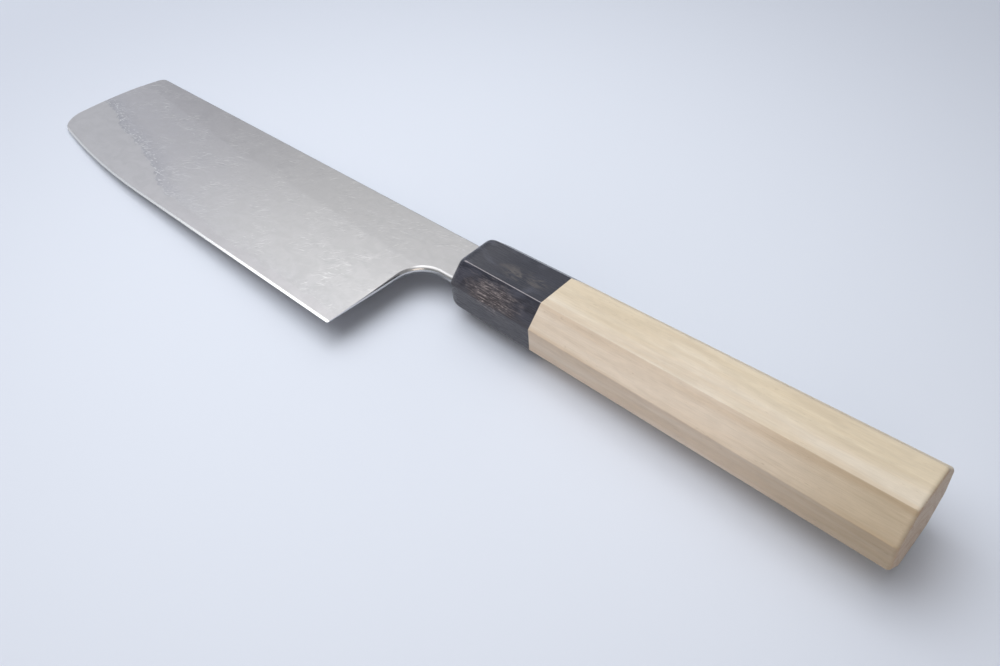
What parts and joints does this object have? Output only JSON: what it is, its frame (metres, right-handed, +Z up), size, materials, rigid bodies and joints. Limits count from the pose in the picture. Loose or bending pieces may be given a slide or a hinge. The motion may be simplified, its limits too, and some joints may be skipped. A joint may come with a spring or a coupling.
{
  "type": "nakiri knife",
  "caption": "Nakiri vegetable knife with a square-nosed laminated blade, a horn ferrule and an octagonal wooden handle, lying on its right side.",
  "frame": {"origin": "on the table, below the middle of the whole knife's box, with the knife at rest on its right side", "axes": "+X runs towards the butt of the handle, +Y towards the spine side, +Z up, out of the blade's left side. The knife leans 2.6 degrees, tip down, as it rests."},
  "size_m": [0.3134, 0.0544, 0.025],
  "materials": {
    "core_steel": "fine satin polish below the lamination line, bright at the edge",
    "cladding_steel": "satin with short fine scratches, neck and spine polished",
    "horn": "polished dark horn, a little cloudy",
    "magnolia": "bare magnolia, sanded smooth, fine straight grain",
    "glue": "thin hardened glue line",
    "bedding_resin": "hardened resin",
    "seal_resin": "dark hardened resin, wiped flush"
  },
  "bodies": {
    "root": {"blade_core": "core_steel", "left_cladding": "cladding_steel", "right_cladding": "cladding_steel", "ferrule": "horn", "handle_body": "magnolia", "tenon_glue": "glue", "tang_bedding": "bedding_resin", "mouth_seal": "seal_resin"}
  },
  "joints": []
}
